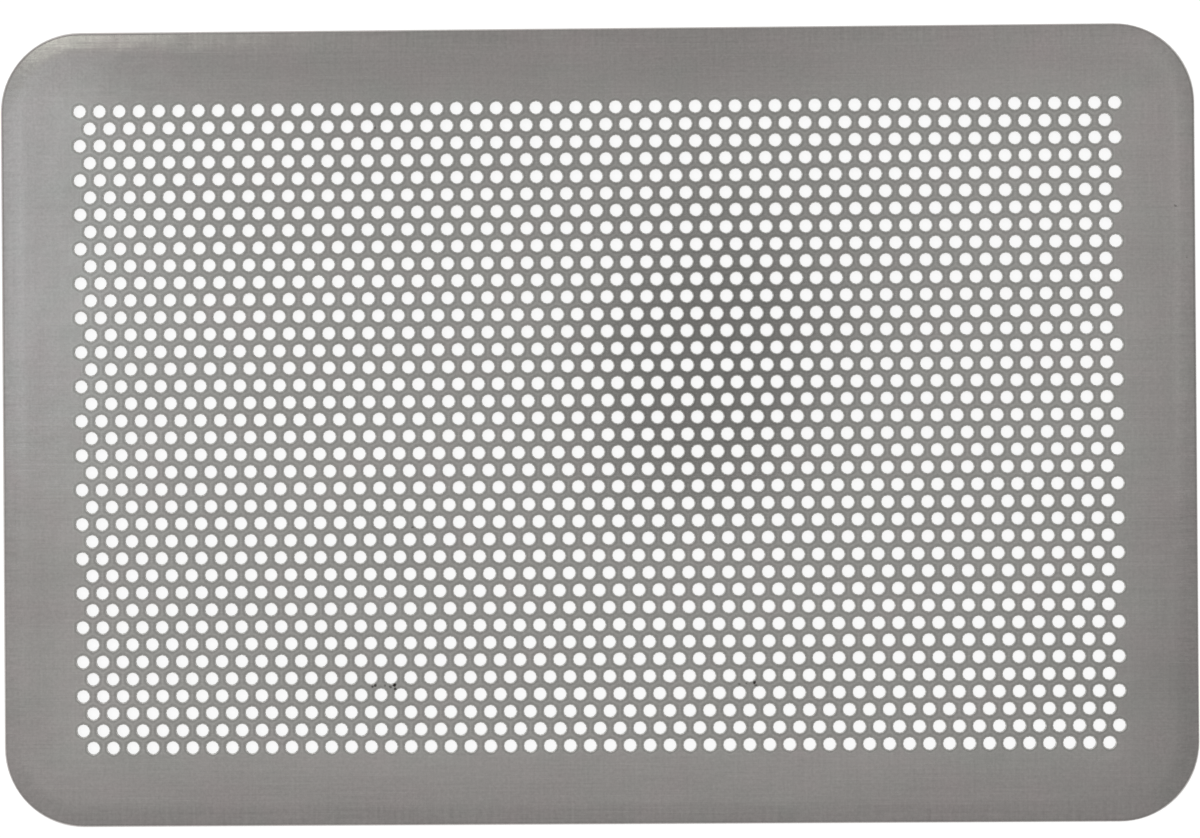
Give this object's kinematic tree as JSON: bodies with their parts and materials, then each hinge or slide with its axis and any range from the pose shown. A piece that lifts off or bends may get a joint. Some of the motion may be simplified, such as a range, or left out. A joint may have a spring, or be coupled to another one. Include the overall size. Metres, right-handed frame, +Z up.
{
  "type": "perforated baking tray",
  "caption": "Flat rectangular aluminium baking tray with rounded corners, a perforated field and a plain turned-down rim; hot air reaches the food from below.",
  "frame": {"origin": "middle of the tray in plan, on the plane that its turned-down edge rests on", "axes": "+X along the length, +Y along the width, +Z up through the sheet, towards the face that the food lies on"},
  "size_m": [0.3, 0.2, 0.002],
  "materials": {
    "brushed_aluminium": "satin rolled and lightly brushed along the length, uncoated"
  },
  "bodies": {
    "root": {"perforated_sheet": "brushed_aluminium"}
  },
  "joints": []
}
